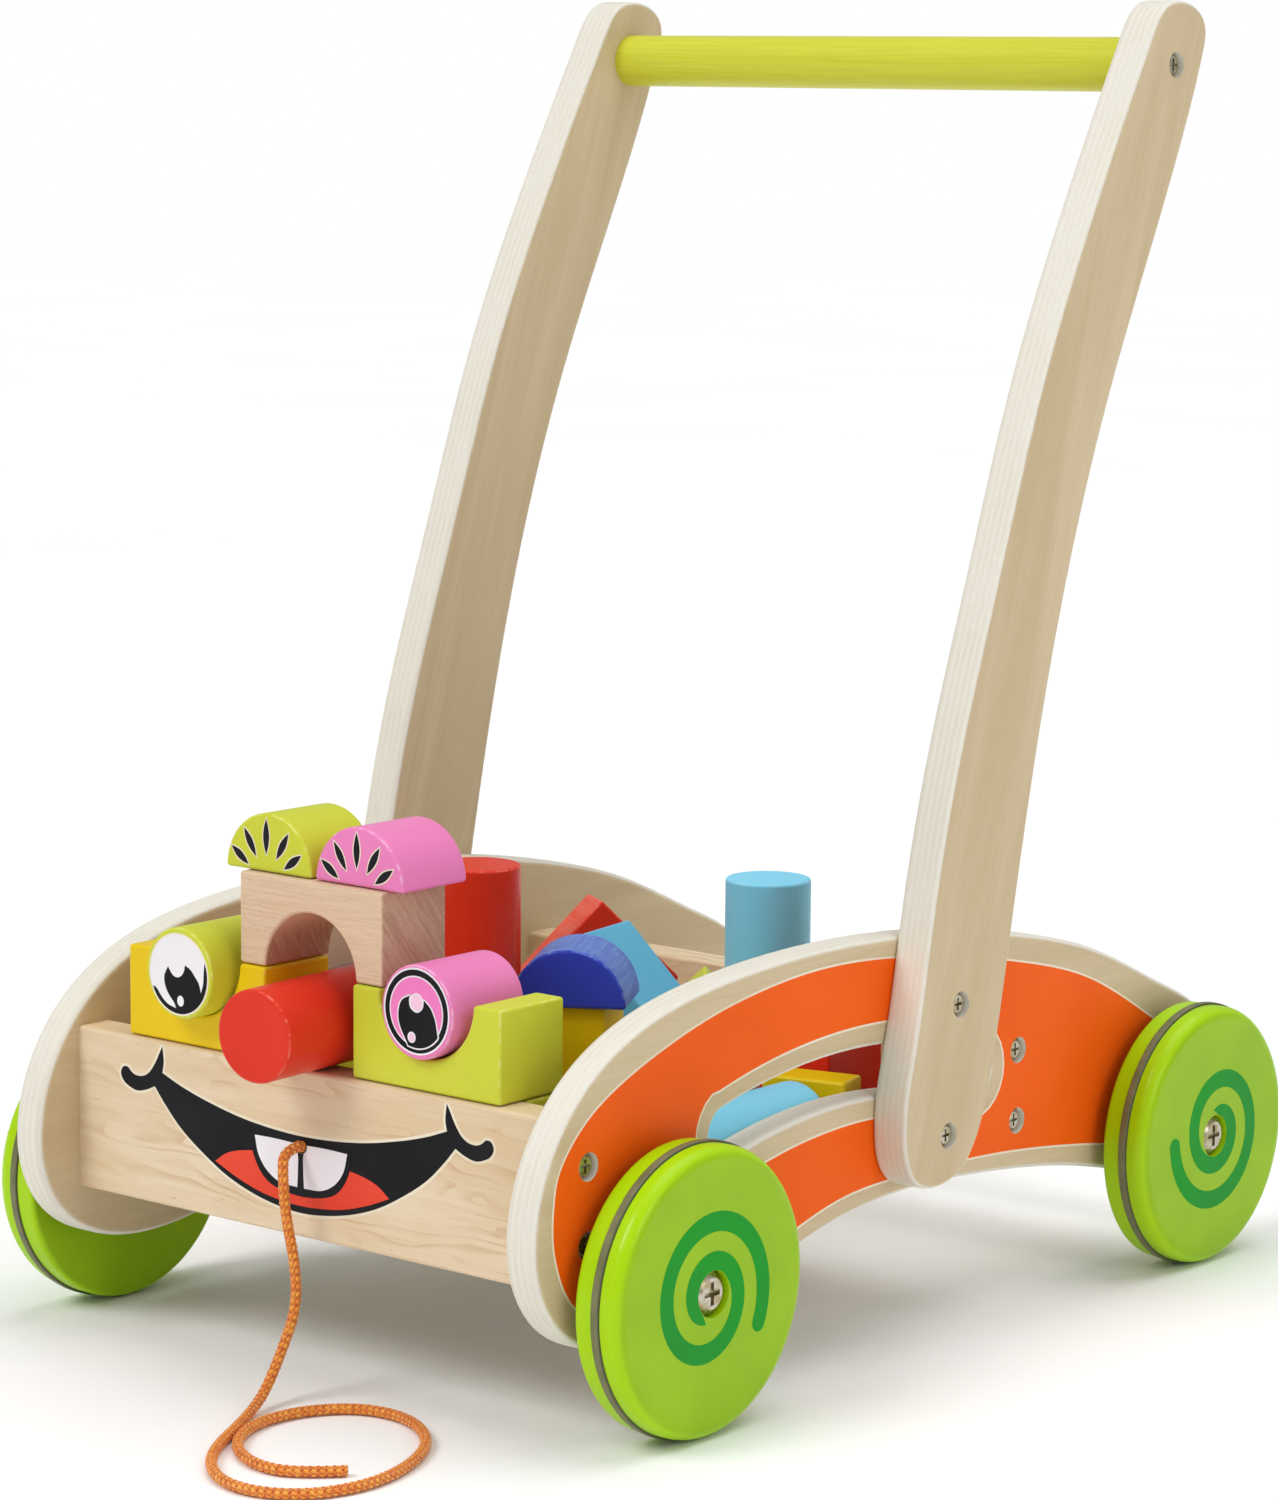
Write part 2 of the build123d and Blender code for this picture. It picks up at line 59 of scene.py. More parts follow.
def make_camera():
    """Camera from its place and its three turns; it looks along its own -Z."""
    ahead = Vector((-math.sin(YAW) * math.cos(PITCH), math.cos(YAW) * math.cos(PITCH), -math.sin(PITCH)))
    level = Vector((math.cos(YAW), math.sin(YAW), 0))
    upright = level.cross(ahead)
    right = level * math.cos(ROLL) + upright * math.sin(ROLL)
    up = upright * math.cos(ROLL) - level * math.sin(ROLL)
    data = bpy.data.cameras.new("camera")
    data.lens = LENS
    data.shift_x, data.shift_y = SHIFT
    camera = bpy.data.objects.new("camera", data)
    scene.collection.objects.link(camera)
    camera.matrix_world = Matrix.Translation(CAMERA_PLACE) @ Matrix((right, up, -ahead)).transposed().to_4x4()
    scene.camera = camera


make_camera()


# ---------------------------------------------------------------- meshes
def new_piece(name, mesh, material, body):
    """A mesh object with one material that rides on a body."""
    piece = bpy.data.objects.new(name, mesh)
    mesh.materials.clear()
    mesh.materials.append(material)
    scene.collection.objects.link(piece)
    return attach(piece, body)


def tube_mesh(name, lines, radii, sides):
    """One mesh with a closed tube along each line; a line is a list of (centre, across, out) rings."""
    half_width, half_thick = radii
    points, faces = [], []
    for line in lines:
        first = len(points)
        for centre, across, out in line:
            for k in range(sides):
                angle = 2 * math.pi * k / sides
                sideways = across * (half_width * math.cos(angle))
                points.append(centre + sideways + out * (half_thick * math.sin(angle)))
        for i in range(len(line) - 1):
            for k in range(sides):
                a = first + i * sides + k
                b = first + i * sides + (k + 1) % sides
                faces.append((a, b, b + sides, a + sides))
        last = first + (len(line) - 1) * sides
        faces.append([first + k for k in reversed(range(sides))])
        faces.append([last + k for k in range(sides)])
    mesh = bpy.data.meshes.new(name)
    mesh.from_pydata(points, [], faces)
    mesh.polygons.foreach_set("use_smooth", [True] * len(mesh.polygons))
    mesh.update()
    return mesh


# ---------------------------------------------------------------- materials: the tools
def colour(code):
    """Linear RGBA of a six-digit screen colour."""
    channels = [int(code[i:i + 2], 16) / 255 for i in (0, 2, 4)]
    return (*[c / 12.92 if c <= 0.04045 else ((c + 0.055) / 1.055) ** 2.4 for c in channels], 1.0)


class Finish:
    """A procedural material: a Principled shader and the nodes that feed it."""

    def __init__(self, name, roughness=0.5, coat=0.0, coat_roughness=0.1, metallic=0.0, specular=0.5):
        self.material = bpy.data.materials.new(name)
        self.material.use_nodes = True
        self.tree = self.material.node_tree
        self.shader = self.tree.nodes["Principled BSDF"]
        self.shader.inputs["Roughness"].default_value = roughness
        self.shader.inputs["Coat Weight"].default_value = coat
        self.shader.inputs["Coat Roughness"].default_value = coat_roughness
        self.shader.inputs["Metallic"].default_value = metallic
        self.shader.inputs["Specular IOR Level"].default_value = specular
        where = self.tree.nodes.new("ShaderNodeTexCoord")
        self.place = where.outputs["Object"]
        self.facing = where.outputs["Normal"]

    def add(self, kind, values, output=0, **settings):
        """A new node with its settings and inputs; returns one of its outputs."""
        node = self.tree.nodes.new("ShaderNode" + kind)
        for key, value in settings.items():
            setattr(node, key, value)
        for key, value in values.items():
            self.feed(node.inputs[key], value)
        return node.outputs[output]

    def feed(self, socket, value):
        if isinstance(value, bpy.types.NodeSocket):
            self.tree.links.new(value, socket)
        else:
            socket.default_value = value

    def math(self, operation, a, b=0.0, c=0.0):
        return self.add("Math", {0: a, 1: b, 2: c}, operation=operation)

    def times(self, a, b):
        return self.math("MULTIPLY", a, b)

    def axis(self, vector, index):
        return self.add("SeparateXYZ", {0: vector}, output=index)

    def grain(self, sizes, turn=(0, 0, 0), detail=3.0, roughness=0.55, twist=0.0, shift=0.0):
        """Noise whose features have these sizes along the turned axes."""
        local = self.add(
            "Mapping",
            {"Vector": self.place, "Location": (shift, shift, shift), "Rotation": turn, "Scale": sizes},
            vector_type="TEXTURE",
        )
        return self.add(
            "TexNoise",
            {"Vector": local, "Scale": 1.0, "Detail": detail, "Roughness": roughness, "Distortion": twist},
        )

    def step(self, value, low, high, start=0.0, end=1.0):
        """Smooth step from start to end while a value goes from low to high."""
        limits = {0: value, 1: low, 2: high, 3: start, 4: end}
        return self.add("MapRange", limits, interpolation_type="SMOOTHSTEP")

    def mix(self, share, a, b):
        return self.add("Mix", {0: share, 6: a, 7: b}, output=2, data_type="RGBA")

    def paint(self, value):
        self.feed(self.shader.inputs["Base Color"], value)

    def rough(self, value):
        self.feed(self.shader.inputs["Roughness"], value)

    def bump(self, height, distance, strength=1.0):
        """Relief of a height field, on top of the relief that is there."""
        below = self.shader.inputs["Normal"]
        values = {"Height": height, "Distance": distance, "Strength": strength}
        if below.links:
            values["Normal"] = below.links[0].from_socket
        self.feed(below, self.add("Bump", values))


# ---------------------------------------------------------------- materials: bare wood
PLY_FACE, PLY_FIGURE, PLY_STREAK, PLY_PORE = "D8C4A0", "CCB68F", "BFA47A", "9A7D56"
EDGE_LONG, EDGE_CROSS, EDGE_FIBRE, EDGE_GLUE = "EAE6DA", "DFD8C6", "D0C7B0", "B4A58A"


def sizes_along(axis, along, across):
    """Feature sizes that are long on one axis."""
    return tuple(along if letter == axis else across for letter in "xyz")


def ply(name, axis, lean, inner, thickness, plies):
    """Birch plywood: faces with a quiet figure and short pores, edges that faintly show the plies.

    The plies are counted from the inner distance from the middle plane, over the thickness.
    """
    f = Finish(name, roughness=0.5, coat=0.08, coat_roughness=0.35, specular=0.3)
    turn = (lean, 0, 0)
    figure = f.grain(sizes_along(axis, 0.2, 0.02), turn, detail=2.0, twist=0.5)
    streak = f.grain(sizes_along(axis, 0.05, 0.0012), turn, detail=4.0, roughness=0.65)
    pore = f.grain(sizes_along(axis, 0.0045, 0.00028), turn, detail=1.0)
    broad = f.mix(f.step(figure, 0.3, 0.7), colour(PLY_FACE), colour(PLY_FIGURE))
    broad = f.mix(f.step(streak, 0.42, 0.78, 0, 0.3), broad, colour(PLY_STREAK))
    broad = f.mix(f.step(pore, 0.64, 0.72, 0, 0.22), broad, colour(PLY_PORE))

    depth = f.math("SUBTRACT", f.math("ABSOLUTE", f.axis(f.place, 0)), inner)
    layer = f.math("DIVIDE", depth, thickness / plies)
    within = f.math("FRACT", layer)
    crossed = f.math("FLOORED_MODULO", f.math("FLOOR", layer), 2.0)
    fibres = f.grain((0.0005, 0.005, 0.005), detail=4.0, roughness=0.7)
    worn = f.grain((0.02, 0.03, 0.03), detail=2.0, shift=0.5)
    seen = f.step(worn, 0.3, 0.7, 0.35, 1.0)
    edge = f.mix(f.times(crossed, f.times(seen, 0.55)), colour(EDGE_LONG), colour(EDGE_CROSS))
    edge = f.mix(f.step(fibres, 0.4, 0.75, 0, 0.25), edge, colour(EDGE_FIBRE))
    glue = f.step(f.math("ABSOLUTE", f.math("SUBTRACT", within, 0.5)), 0.42, 0.49)
    edge = f.mix(f.times(f.times(glue, seen), 0.22), edge, colour(EDGE_GLUE))
    on_edge = f.step(f.math("ABSOLUTE", f.axis(f.facing, 0)), 0.985, 0.8)
    f.paint(f.mix(on_edge, broad, edge))
    f.bump(f.math("ADD", streak, f.times(pore, -0.4)), 0.00006, 0.4)
    f.bump(f.times(glue, on_edge), -0.00006, 0.4)
    return f.material


def pine(name):
    """Knotty pine with its grain along X."""
    f = Finish(name, roughness=0.52, coat=0.1, coat_roughness=0.35)
    wander = f.grain((0.09, 0.02, 0.02), detail=2.0)
    rise = f.math("ADD", f.times(f.axis(f.place, 2), 150.0), f.times(f.axis(f.place, 1), 60.0))
    ring = f.math("ADD", rise, f.times(wander, 9.0))
    late = f.step(f.math("FRACT", ring), 0.45, 0.97)
    late = f.times(late, f.step(f.grain((0.12, 0.03, 0.012), shift=0.3), 0.42, 0.66))
    streak = f.grain((0.03, 0.0007, 0.0007), detail=4.0, roughness=0.7)
    fleck = f.grain((0.012, 0.0009, 0.0009), detail=2.0, shift=0.11)
    body = f.mix(f.step(f.grain((0.08, 0.03, 0.02), shift=0.7), 0.3, 0.7), colour("EBD7B8"), colour("DFC49C"))
    body = f.mix(f.times(late, 0.55), body, colour("C79B67"))
    body = f.mix(f.step(streak, 0.45, 0.8, 0, 0.35), body, colour("C9A373"))
    body = f.mix(f.step(fleck, 0.7, 0.78, 0, 0.6), body, colour("A97B4C"))
    f.paint(body)
    f.bump(f.math("ADD", streak, f.times(late, 0.5)), 0.0001, 0.6)
    return f.material


BEECH_PALE, BEECH_DARK, END_PALE, END_DARK = "E4C9AC", "D6B594", "C9A88C", "B58F74"


def beech(name, axis, turn):
    """Bare beech: short dark rays, and rougher end grain."""
    f = Finish(name, roughness=0.62, specular=0.3)
    turned = (0, 0, math.radians(turn))
    streak = f.grain(sizes_along(axis, 0.03, 0.0009), turned, detail=4.0, roughness=0.65)
    ray = f.grain(sizes_along(axis, 0.0026, 0.0003), turned, detail=1.0)
    body = f.mix(f.step(streak, 0.3, 0.75), colour(BEECH_PALE), colour(BEECH_DARK))
    body = f.mix(f.step(ray, 0.62, 0.72, 0, 0.3), body, colour("A98263"))
    crumb = f.grain((0.0007, 0.0012, 0.0012), turned, detail=3.0, roughness=0.7)
    sawn = f.grain((0.01, 0.0011, 0.02), (math.radians(38), 0, 0), detail=3.0)
    end = f.mix(f.step(sawn, 0.35, 0.7), colour(END_PALE), colour(END_DARK))
    end = f.mix(f.step(crumb, 0.5, 0.75, 0, 0.35), end, colour("8E6B52"))
    on_end = f.step(f.math("ABSOLUTE", f.axis(f.facing, "xyz".index(axis))), 0.6, 0.95)
    f.paint(f.mix(on_end, body, end))
    f.bump(streak, 0.0001, 0.4)
    f.bump(f.times(f.math("ADD", sawn, f.times(crumb, 0.3)), on_end), 0.0003, 0.5)
    return f.material


# ---------------------------------------------------------------- materials: paint, print, metal, rubber
def block_paint(name, code, shade, pale, axis, turn, wear, gloss):
    """Sprayed paint over wood: faint grain, pale rims on the rounded edges that are partly wear and partly
    painted highlight, and sides that are scuffed pale.
    """
    f = Finish(name, roughness=gloss, coat=0.06, coat_roughness=0.2, specular=0.15)
    turned = (0, 0, math.radians(turn))
    cloud = f.grain((0.05, 0.05, 0.05), detail=1.0)
    streak = f.grain(sizes_along(axis, 0.03, 0.0009), turned, detail=4.0, roughness=0.7)
    speck = f.grain((0.0012, 0.0012, 0.0012), detail=3.0)
    body = f.mix(f.step(cloud, 0.3, 0.7, 0, 0.5), colour(code), colour(shade))
    body = f.mix(f.step(streak, 0.5, 0.8, 0, 0.12), body, colour(shade))
    local = f.add("VectorRotate", {"Vector": f.facing, "Rotation": (0, 0, -math.radians(turn))},
                  rotation_type="EULER_XYZ")
    ends = f.math("ABSOLUTE", f.axis(local, "xyz".index(axis)))
    broken = f.step(f.grain((0.003, 0.003, 0.003), detail=4.0, shift=0.2), 0.45, 0.6)
    # pale rims along the rounded edges: partly wear, partly painted highlight
    rim = f.times(f.step(ends, 0.25, 0.5), f.step(ends, 0.95, 0.75))
    body = f.mix(f.times(f.times(rim, broken), 0.45), body, colour(pale))
    if wear:
        rubbed = f.times(f.step(streak, 0.35, 0.65, 0.55, 1.0), f.step(ends, 0.5, 0.2))
        patchy = f.step(f.grain((0.014, 0.014, 0.014), detail=3.0, shift=0.9), 0.3, 0.6, 0.5, 1.0)
        body = f.mix(f.times(f.times(rubbed, patchy), wear), body, colour(pale))
    f.paint(body)
    f.rough(f.step(speck, 0.3, 0.7, gloss - 0.04, gloss + 0.06))
    f.bump(f.math("ADD", streak, f.times(speck, 0.25)), 0.00008, 0.4)
    return f.material


def wheel_paint(name):
    """Bright green satin paint with an orange-peel surface, and a lighter green on the rim and chamfers as
    painted highlight.
    """
    f = Finish(name, roughness=0.36, coat=0.2, coat_roughness=0.12, specular=0.12)
    cloud = f.grain((0.03, 0.03, 0.03), detail=2.0)
    peel = f.grain((0.0016, 0.0016, 0.0016), detail=2.0)
    body = f.mix(f.step(cloud, 0.3, 0.7), colour("9DC80A"), colour("94C00A"))
    # painted highlight: away from the flat faces, the rim and chamfers are painted a lighter green
    flat = f.step(f.math("ABSOLUTE", f.axis(f.facing, 0)), 0.75, 0.99)
    body = f.mix(flat, colour("AAD806"), body)
    f.paint(body)
    f.bump(peel, 0.00012, 0.25)
    return f.material


def bar_paint(name):
    """Yellow-green paint on the turned bar."""
    f = Finish(name, roughness=0.38, coat=0.08, coat_roughness=0.2, specular=0.2)
    streak = f.grain((0.05, 0.0009, 0.0009), detail=4.0, roughness=0.65)
    body = f.mix(f.step(streak, 0.4, 0.75), colour("D4D63E"), colour("CACC36"))
    f.paint(body)
    f.bump(streak, 0.0001, 0.5)
    return f.material


def ink(name, code, shade, gloss=0.45):
    """Screen-printed ink, with a faint unevenness and the wood's grain showing through."""
    f = Finish(name, roughness=gloss, specular=0.1)
    mottle = f.grain((0.05, 0.05, 0.05), detail=1.0)
    grain = f.grain((0.02, 0.012, 0.0008), detail=3.0)
    f.paint(f.mix(f.step(mottle, 0.3, 0.7), colour(code), colour(shade)))
    f.bump(grain, 0.00006, 0.3)
    return f.material


def zinc(name):
    """Zinc-plated steel with a yellowish cast and darker stains at random."""
    f = Finish(name, roughness=0.3, metallic=1.0)
    stain = f.grain((0.004, 0.004, 0.004), detail=4.0)
    scratch = f.grain((0.0003, 0.003, 0.0006), detail=3.0)
    body = f.mix(f.step(stain, 0.35, 0.65), colour("C9C3B4"), colour("A69A72"))
    f.paint(body)
    f.rough(f.step(scratch, 0.3, 0.7, 0.22, 0.42))
    f.bump(scratch, 0.00006, 0.5)
    return f.material


def rubber(name, middle, half):
    """Olive-grey dusty rubber of the wheel rings, with painted shade in the creases where they meet the
    discs.

    Middle and half are the distance of a ring's middle from the walker's, and half of its width.
    """
    f = Finish(name, roughness=0.5)
    pit = f.grain((0.0008, 0.0008, 0.0008), detail=3.0)
    dust = f.grain((0.006, 0.006, 0.006), detail=4.0)
    body = f.mix(f.step(dust, 0.35, 0.7), colour("686A42"), colour("7A7A54"))
    aside = f.math("ABSOLUTE", f.math("SUBTRACT", f.math("ABSOLUTE", f.axis(f.place, 0)), middle))
    # painted shade: darker towards both sides of each ring, in the creases against the discs
    f.paint(f.mix(f.step(aside, 0.6 * half, half, 0, 0.8), body, colour("2E2E1C")))
    f.rough(f.step(dust, 0.3, 0.7, 0.38, 0.6))
    f.bump(pit, 0.00015, 0.5)
    return f.material


def yarn(name, dark, light, glint):
    """Shiny orange polyester yarn: fine filaments with paler glints painted along them as painted highlight.
    """
    f = Finish(name, roughness=0.42)
    filament = f.grain((0.00022, 0.00022, 0.0012), detail=2.0)
    tone = f.grain((0.0022, 0.0022, 0.0022), detail=2.0, shift=0.4)
    body = f.mix(f.step(tone, 0.35, 0.68), colour(dark), colour(light))
    # painted highlight: paler glints along the filaments
    body = f.mix(f.step(filament, 0.55, 0.8, 0, 0.6), body, colour(glint))
    f.paint(body)
    f.shader.inputs["Sheen Weight"].default_value = 0.25
    f.bump(filament, 0.00006, 0.6)
    return f.material


# ---------------------------------------------------------------- pull cord
CORD_EXIT = (0.0, -0.184, 0.0844)
CORD_ROUTE = [
    CORD_EXIT, (0.0, -0.1925, 0.0844), (0.0044, -0.1974, 0.077), (0.0052, -0.1968, 0.063),
    (0.0084, -0.1956, 0.047), (0.0096, -0.196, 0.032), (0.0066, -0.201, 0.016), (0.008, -0.21, 0.005),
    (0.0145, -0.224, 0.00205), (0.0226, -0.2385, 0.00205), (0.031, -0.255, 0.00205),
    (0.042, -0.27, 0.00205), (0.058, -0.2815, 0.00205), (0.076, -0.283, 0.00205),
    (0.091, -0.273, 0.00205), (0.0975, -0.254, 0.00205), (0.094, -0.231, 0.00205),
    (0.081, -0.207, 0.00205), (0.06, -0.1925, 0.00205), (0.039, -0.193, 0.00205),
    (0.026, -0.207, 0.00205), (0.0226, -0.225, 0.00205), (0.028, -0.242, 0.00205),
    (0.04, -0.2555, 0.00205), (0.056, -0.2625, 0.00205), (0.071, -0.2605, 0.00205),
    (0.082, -0.2475, 0.00205),
]
STRANDS = 6                       # in each direction of the braid
BRAID_PITCH = 0.0156              # length of the cord in which a strand goes once round
WEAVE_STEPS = 4                   # rings of a strand in each over and under
STRAND_HALF_WIDTH = 0.00066
STRAND_HALF_THICK = 0.00027
STRAND_SIDES = 4
BRAID_R = 0.00146                 # middle of the strands, from the cord's line
WEAVE = 0.00026                   # how far a strand goes out and in from there
FILLING_R = 0.0014
FILLING_SIDES = 12


def spline_points(route):
    """Points along the smooth NURBS line that the route controls."""
    data = bpy.data.curves.new("cord_route", "CURVE")
    data.dimensions = "3D"
    data.resolution_u = 16
    spline = data.splines.new("NURBS")
    spline.points.add(len(route) - 1)
    for point, place in zip(spline.points, route):
        point.co = (*place, 1.0)
    spline.order_u = 3
    spline.use_endpoint_u = True
    curve = bpy.data.objects.new("cord_route", data)
    mesh = bpy.data.meshes.new_from_object(curve)
    line = [vertex.co.copy() for vertex in mesh.vertices]
    bpy.data.curves.remove(data)
    return line


def moving_frames(line, step):
    """(point, side, up) about every step along a line, turned as little as the bends allow."""
    run = [0.0]
    for a, b in zip(line, line[1:]):
        run.append(run[-1] + (b - a).length)
    count = max(2, round(run[-1] / step))
    frames = []
    side = None
    k = 0
    for i in range(count + 1):
        along = run[-1] * i / count
        while k < len(run) - 2 and run[k + 1] < along:
            k += 1
        share = (along - run[k]) / (run[k + 1] - run[k])
        point = line[k].lerp(line[k + 1], share)
        before = line[k] - line[k - 1] if k else line[1] - line[0]
        after = line[k + 2] - line[k + 1] if k + 2 < len(line) else line[-1] - line[-2]
        ahead = before.normalized().lerp(after.normalized(), 0.5).normalized()
        if side is None:
            side = ahead.orthogonal()
        side = (side - ahead * side.dot(ahead)).normalized()
        frames.append((point, side, ahead.cross(side)))
    return frames


def braid_lines(frames, step, hand):
    """Rings of the strands of one hand, over and under the other hand's."""
    lines = []
    turn_per_ring = 2 * math.pi * step / BRAID_PITCH
    for strand in range(STRANDS):
        centres = []
        for i, (point, side, up) in enumerate(frames):
            turned = i * turn_per_ring
            angle = 2 * math.pi * strand / STRANDS + hand * turned
            out = side * math.cos(angle) + up * math.sin(angle)
            radius = BRAID_R + hand * WEAVE * math.cos(STRANDS * turned)
            centres.append((point + out * radius, out))
        rings = []
        for i, (centre, out) in enumerate(centres):
            ahead = centres[min(i + 1, len(centres) - 1)][0] - centres[max(i - 1, 0)][0]
            rings.append((centre, ahead.cross(out).normalized(), out))
        lines.append(rings)
    return lines


def make_cord():
    """Two hands of strands over a filling, along one line from the hole to the bare end."""
    line = spline_points(CORD_ROUTE)
    step = BRAID_PITCH / STRANDS / WEAVE_STEPS
    frames = moving_frames(line, step)
    real_step = sum((b - a).length for a, b in zip(line, line[1:])) / (len(frames) - 1)
    strand = (STRAND_HALF_WIDTH, STRAND_HALF_THICK)
    filling_frames = frames[::3] + frames[-1:]
    # painted light: one hand is a paler copy of the yarn as painted highlight, the other the plain yarn, and
    # the filling a darker copy as painted shade in the gaps between the strands
    bright = yarn("cord_yarn_bright", "F58A14", "FFB03A", "FFD592")
    deep = yarn("cord_yarn_deep", "D9660A", "F08A1C", "FFB04E")
    shade_yarn = yarn("cord_yarn_painted_shade", "9C4204", "B85A0A", "D27820")
    one_hand = tube_mesh("pull_cord_braid", braid_lines(frames, real_step, 1), strand, STRAND_SIDES)
    braid = new_piece("pull_cord_braid", one_hand, bright, "cart")
    other_hand = tube_mesh("pull_cord_counter", braid_lines(frames, real_step, -1), strand, STRAND_SIDES)
    counter = new_piece("pull_cord_counter", other_hand, deep, "cart")
    inside = tube_mesh("pull_cord_filling", [filling_frames], (FILLING_R, FILLING_R), FILLING_SIDES)
    filling = new_piece("pull_cord_filling", inside, shade_yarn, "cart")
    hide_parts("pull_cord")
    nodes["cord_knot"].data.materials[0] = bright


make_cord()


# ---------------------------------------------------------------- finishes of the CAD parts
def give(names, material):
    """Swap the material of these CAD nodes."""
    for name in names:
        nodes[name].data.materials[0] = material


PANEL_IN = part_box("side_panel_right")[0].x
PANEL_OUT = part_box("side_panel_right")[1].x
ARM_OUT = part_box("handle_arm_right")[1].x
ARM_LEAN = math.radians(-17.5)
PANEL_PLIES, ARM_PLIES = 9, 11
panel_ply = ply("panel_ply", "y", 0.0, PANEL_IN, PANEL_OUT - PANEL_IN, PANEL_PLIES)
arm_ply = ply("arm_ply", "z", ARM_LEAN, PANEL_OUT, ARM_OUT - PANEL_OUT, ARM_PLIES)
give(["side_panel_right", "side_panel_left"], panel_ply)
give(["handle_arm_right", "handle_arm_left"], arm_ply)
give(["tray_base"], ply("base_ply", "x", 0.0, 0.0, 1.0, 1))
give(["front_board", "rear_board", "base_rails"], pine("board_pine"))
give(["handle_bar"], bar_paint("bar_lime"))

ring_low, ring_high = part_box("front_right_rubber_ring")
ring_rubber = rubber("ring_rubber", (ring_low.x + ring_high.x) / 2, (ring_high.x - ring_low.x) / 2)
wheel_green = wheel_paint("wheel_green")
for axle in ("front", "rear"):
    for side in ("right", "left"):
        wheel = axle + "_" + side
        give([wheel + "_inner_disc", wheel + "_outer_disc"], wheel_green)
        give([wheel + "_rubber_ring"], ring_rubber)

plated = zinc("plated_steel")
give([name for name in nodes if name.endswith("_screws") or name.startswith("axle_")], plated)
give(["wheel_washers", "wheel_spacers"], plated)

# paint of each slot: main colour, its shade, the paler tone of the rims (partly wear, partly painted
# highlight) and scuffed sides, roughness
PAINTS = {
    "yellow_paint": ("EDCB10", "E2BC0C", "F3E08A", 0.4),
    "lime_paint": ("D0D63E", "C4CA36", "E9EE9C", 0.42),
    "pink_paint": ("EE86BE", "E27AB4", "FAD0E6", 0.4),
    "red_paint": ("E0341E", "CE2A18", "F08C78", 0.34),
    "orange_paint": ("EE6A1C", "E25C14", "F4B080", 0.42),
    "dark_blue_paint": ("3242BC", "2A38AC", "7FA2D6", 0.42),
    "light_blue_paint": ("66B8DA", "58ACD0", "A8DCEC", 0.42),
}
# degrees about Z that a block stands turned by
TURNS = {
    "red_nose_cylinder": 3.7, "yellow_standing_brick": 28, "yellow_half_brick": 14, "blue_half_round": 31,
    "light_blue_prism": 9.5, "red_prism": 58, "lime_prism": 40, "lime_low_half_round": 20,
}
WORN = {"blue_half_round": 0.7, "red_prism": 0.6}      # share of the paint on the sides that is rubbed pale
# painted light: the two light-blue cylinders get a paler copy of the light-blue paint, so that they look as
# brightly lit as the prism
BRIGHTENED_BLUE = ("8CDEFC", "84D8F8", "B8E4F2", 0.45)
BRIGHTENED_BLOCKS = dict.fromkeys(("light_blue_rear_cylinder", "light_blue_side_cylinder"), BRIGHTENED_BLUE)


def grain_axis(name):
    """Axis that a block's grain follows before its turn: its longest one, or the one it was extruded on."""
    if "half_round" in name or "prism" in name:
        return "y"
    low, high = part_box(name)
    size = high - low
    return "xyz"[max(range(3), key=lambda k: size[k])]


for name, node in nodes.items():
    slot = node.data.materials[0].name
    if slot in PAINTS:
        main, shade, pale, gloss = BRIGHTENED_BLOCKS.get(name, PAINTS[slot])
        axis, turn, wear = grain_axis(name), TURNS.get(name, 0), WORN.get(name, 0)
        give([name], block_paint(name + "_paint", main, shade, pale, axis, turn, wear, gloss))
    elif slot == "beech":
        give([name], beech(name + "_wood", "x", 0))


# ---------------------------------------------------------------- printed decoration
def smooth_loop(points, corners=(), steps=8):
    """Closed smooth outline through the points, with a sharp corner at the listed ones."""
    outline = []
    count = len(points)
    places = [Vector(point) for point in points]
    for i in range(count):
        before, here = places[i - 1], places[i]
        after, beyond = places[(i + 1) % count], places[(i + 2) % count]
        leave = after - here if i in corners else (after - before) / 2
        arrive = after - here if (i + 1) % count in corners else (beyond - here) / 2
        for k in range(steps):
            t = k / steps
            outline.append(
                here * (2 * t**3 - 3 * t**2 + 1) + leave * (t**3 - 2 * t**2 + t)
                + after * (3 * t**2 - 2 * t**3) + arrive * (t**3 - t**2)
            )
    return outline


def heading(angle):
    return Vector((math.cos(angle), math.sin(angle)))


def ellipse(centre, half_width, half_height, steps=48):
    middle = Vector(centre)
    rays = [heading(2 * math.pi * k / steps) for k in range(steps)]
    return [middle + Vector((half_width * ray.x, half_height * ray.y)) for ray in rays]


def disc(centre, radius, steps=48):
    return ellipse(centre, radius, radius, steps)


def runs_anticlockwise(outline):
    return sum(a.cross(b) for a, b in zip(outline, outline[1:] + outline[:1])) > 0


def grown(outline, by):
    """The outline moved outwards by a distance."""
    sign = 1 if runs_anticlockwise(outline) else -1
    moved = []
    for i, here in enumerate(outline):
        ahead = (outline[(i + 1) % len(outline)] - outline[i - 1]).normalized()
        moved.append(here + Vector((ahead.y, -ahead.x)) * (by * sign))
    return moved


def film(name, outlines, height, face, material, body):
    """A printed layer that fills its outlines, in millimetres, on a face; inner outlines are openings."""
    data = bpy.data.curves.new(name, "CURVE")
    data.dimensions = "2D"
    data.fill_mode = "BOTH"
    data.extrude = height * MM / 2
    for outline in outlines:
        spline = data.splines.new("POLY")
        spline.points.add(len(outline) - 1)
        for point, place in zip(spline.points, outline):
            point.co = (place.x * MM, place.y * MM, 0.0, 1.0)
        spline.use_cyclic_u = True
    curve = bpy.data.objects.new(name, data)
    mesh = bpy.data.meshes.new_from_object(curve)
    bpy.data.curves.remove(data)
    mesh.name = name
    mesh.transform(face @ Matrix.Translation((0, 0, height * MM / 2)))
    return new_piece(name, mesh, material, body)


def face_at(origin, across, up):
    """Matrix of a flat face: its X is across, its Y is up, and its Z points out of it."""
    across, up = Vector(across), Vector(up)
    return Matrix.Translation(Vector(origin)) @ Matrix((across, up, across.cross(up))).transposed().to_4x4()


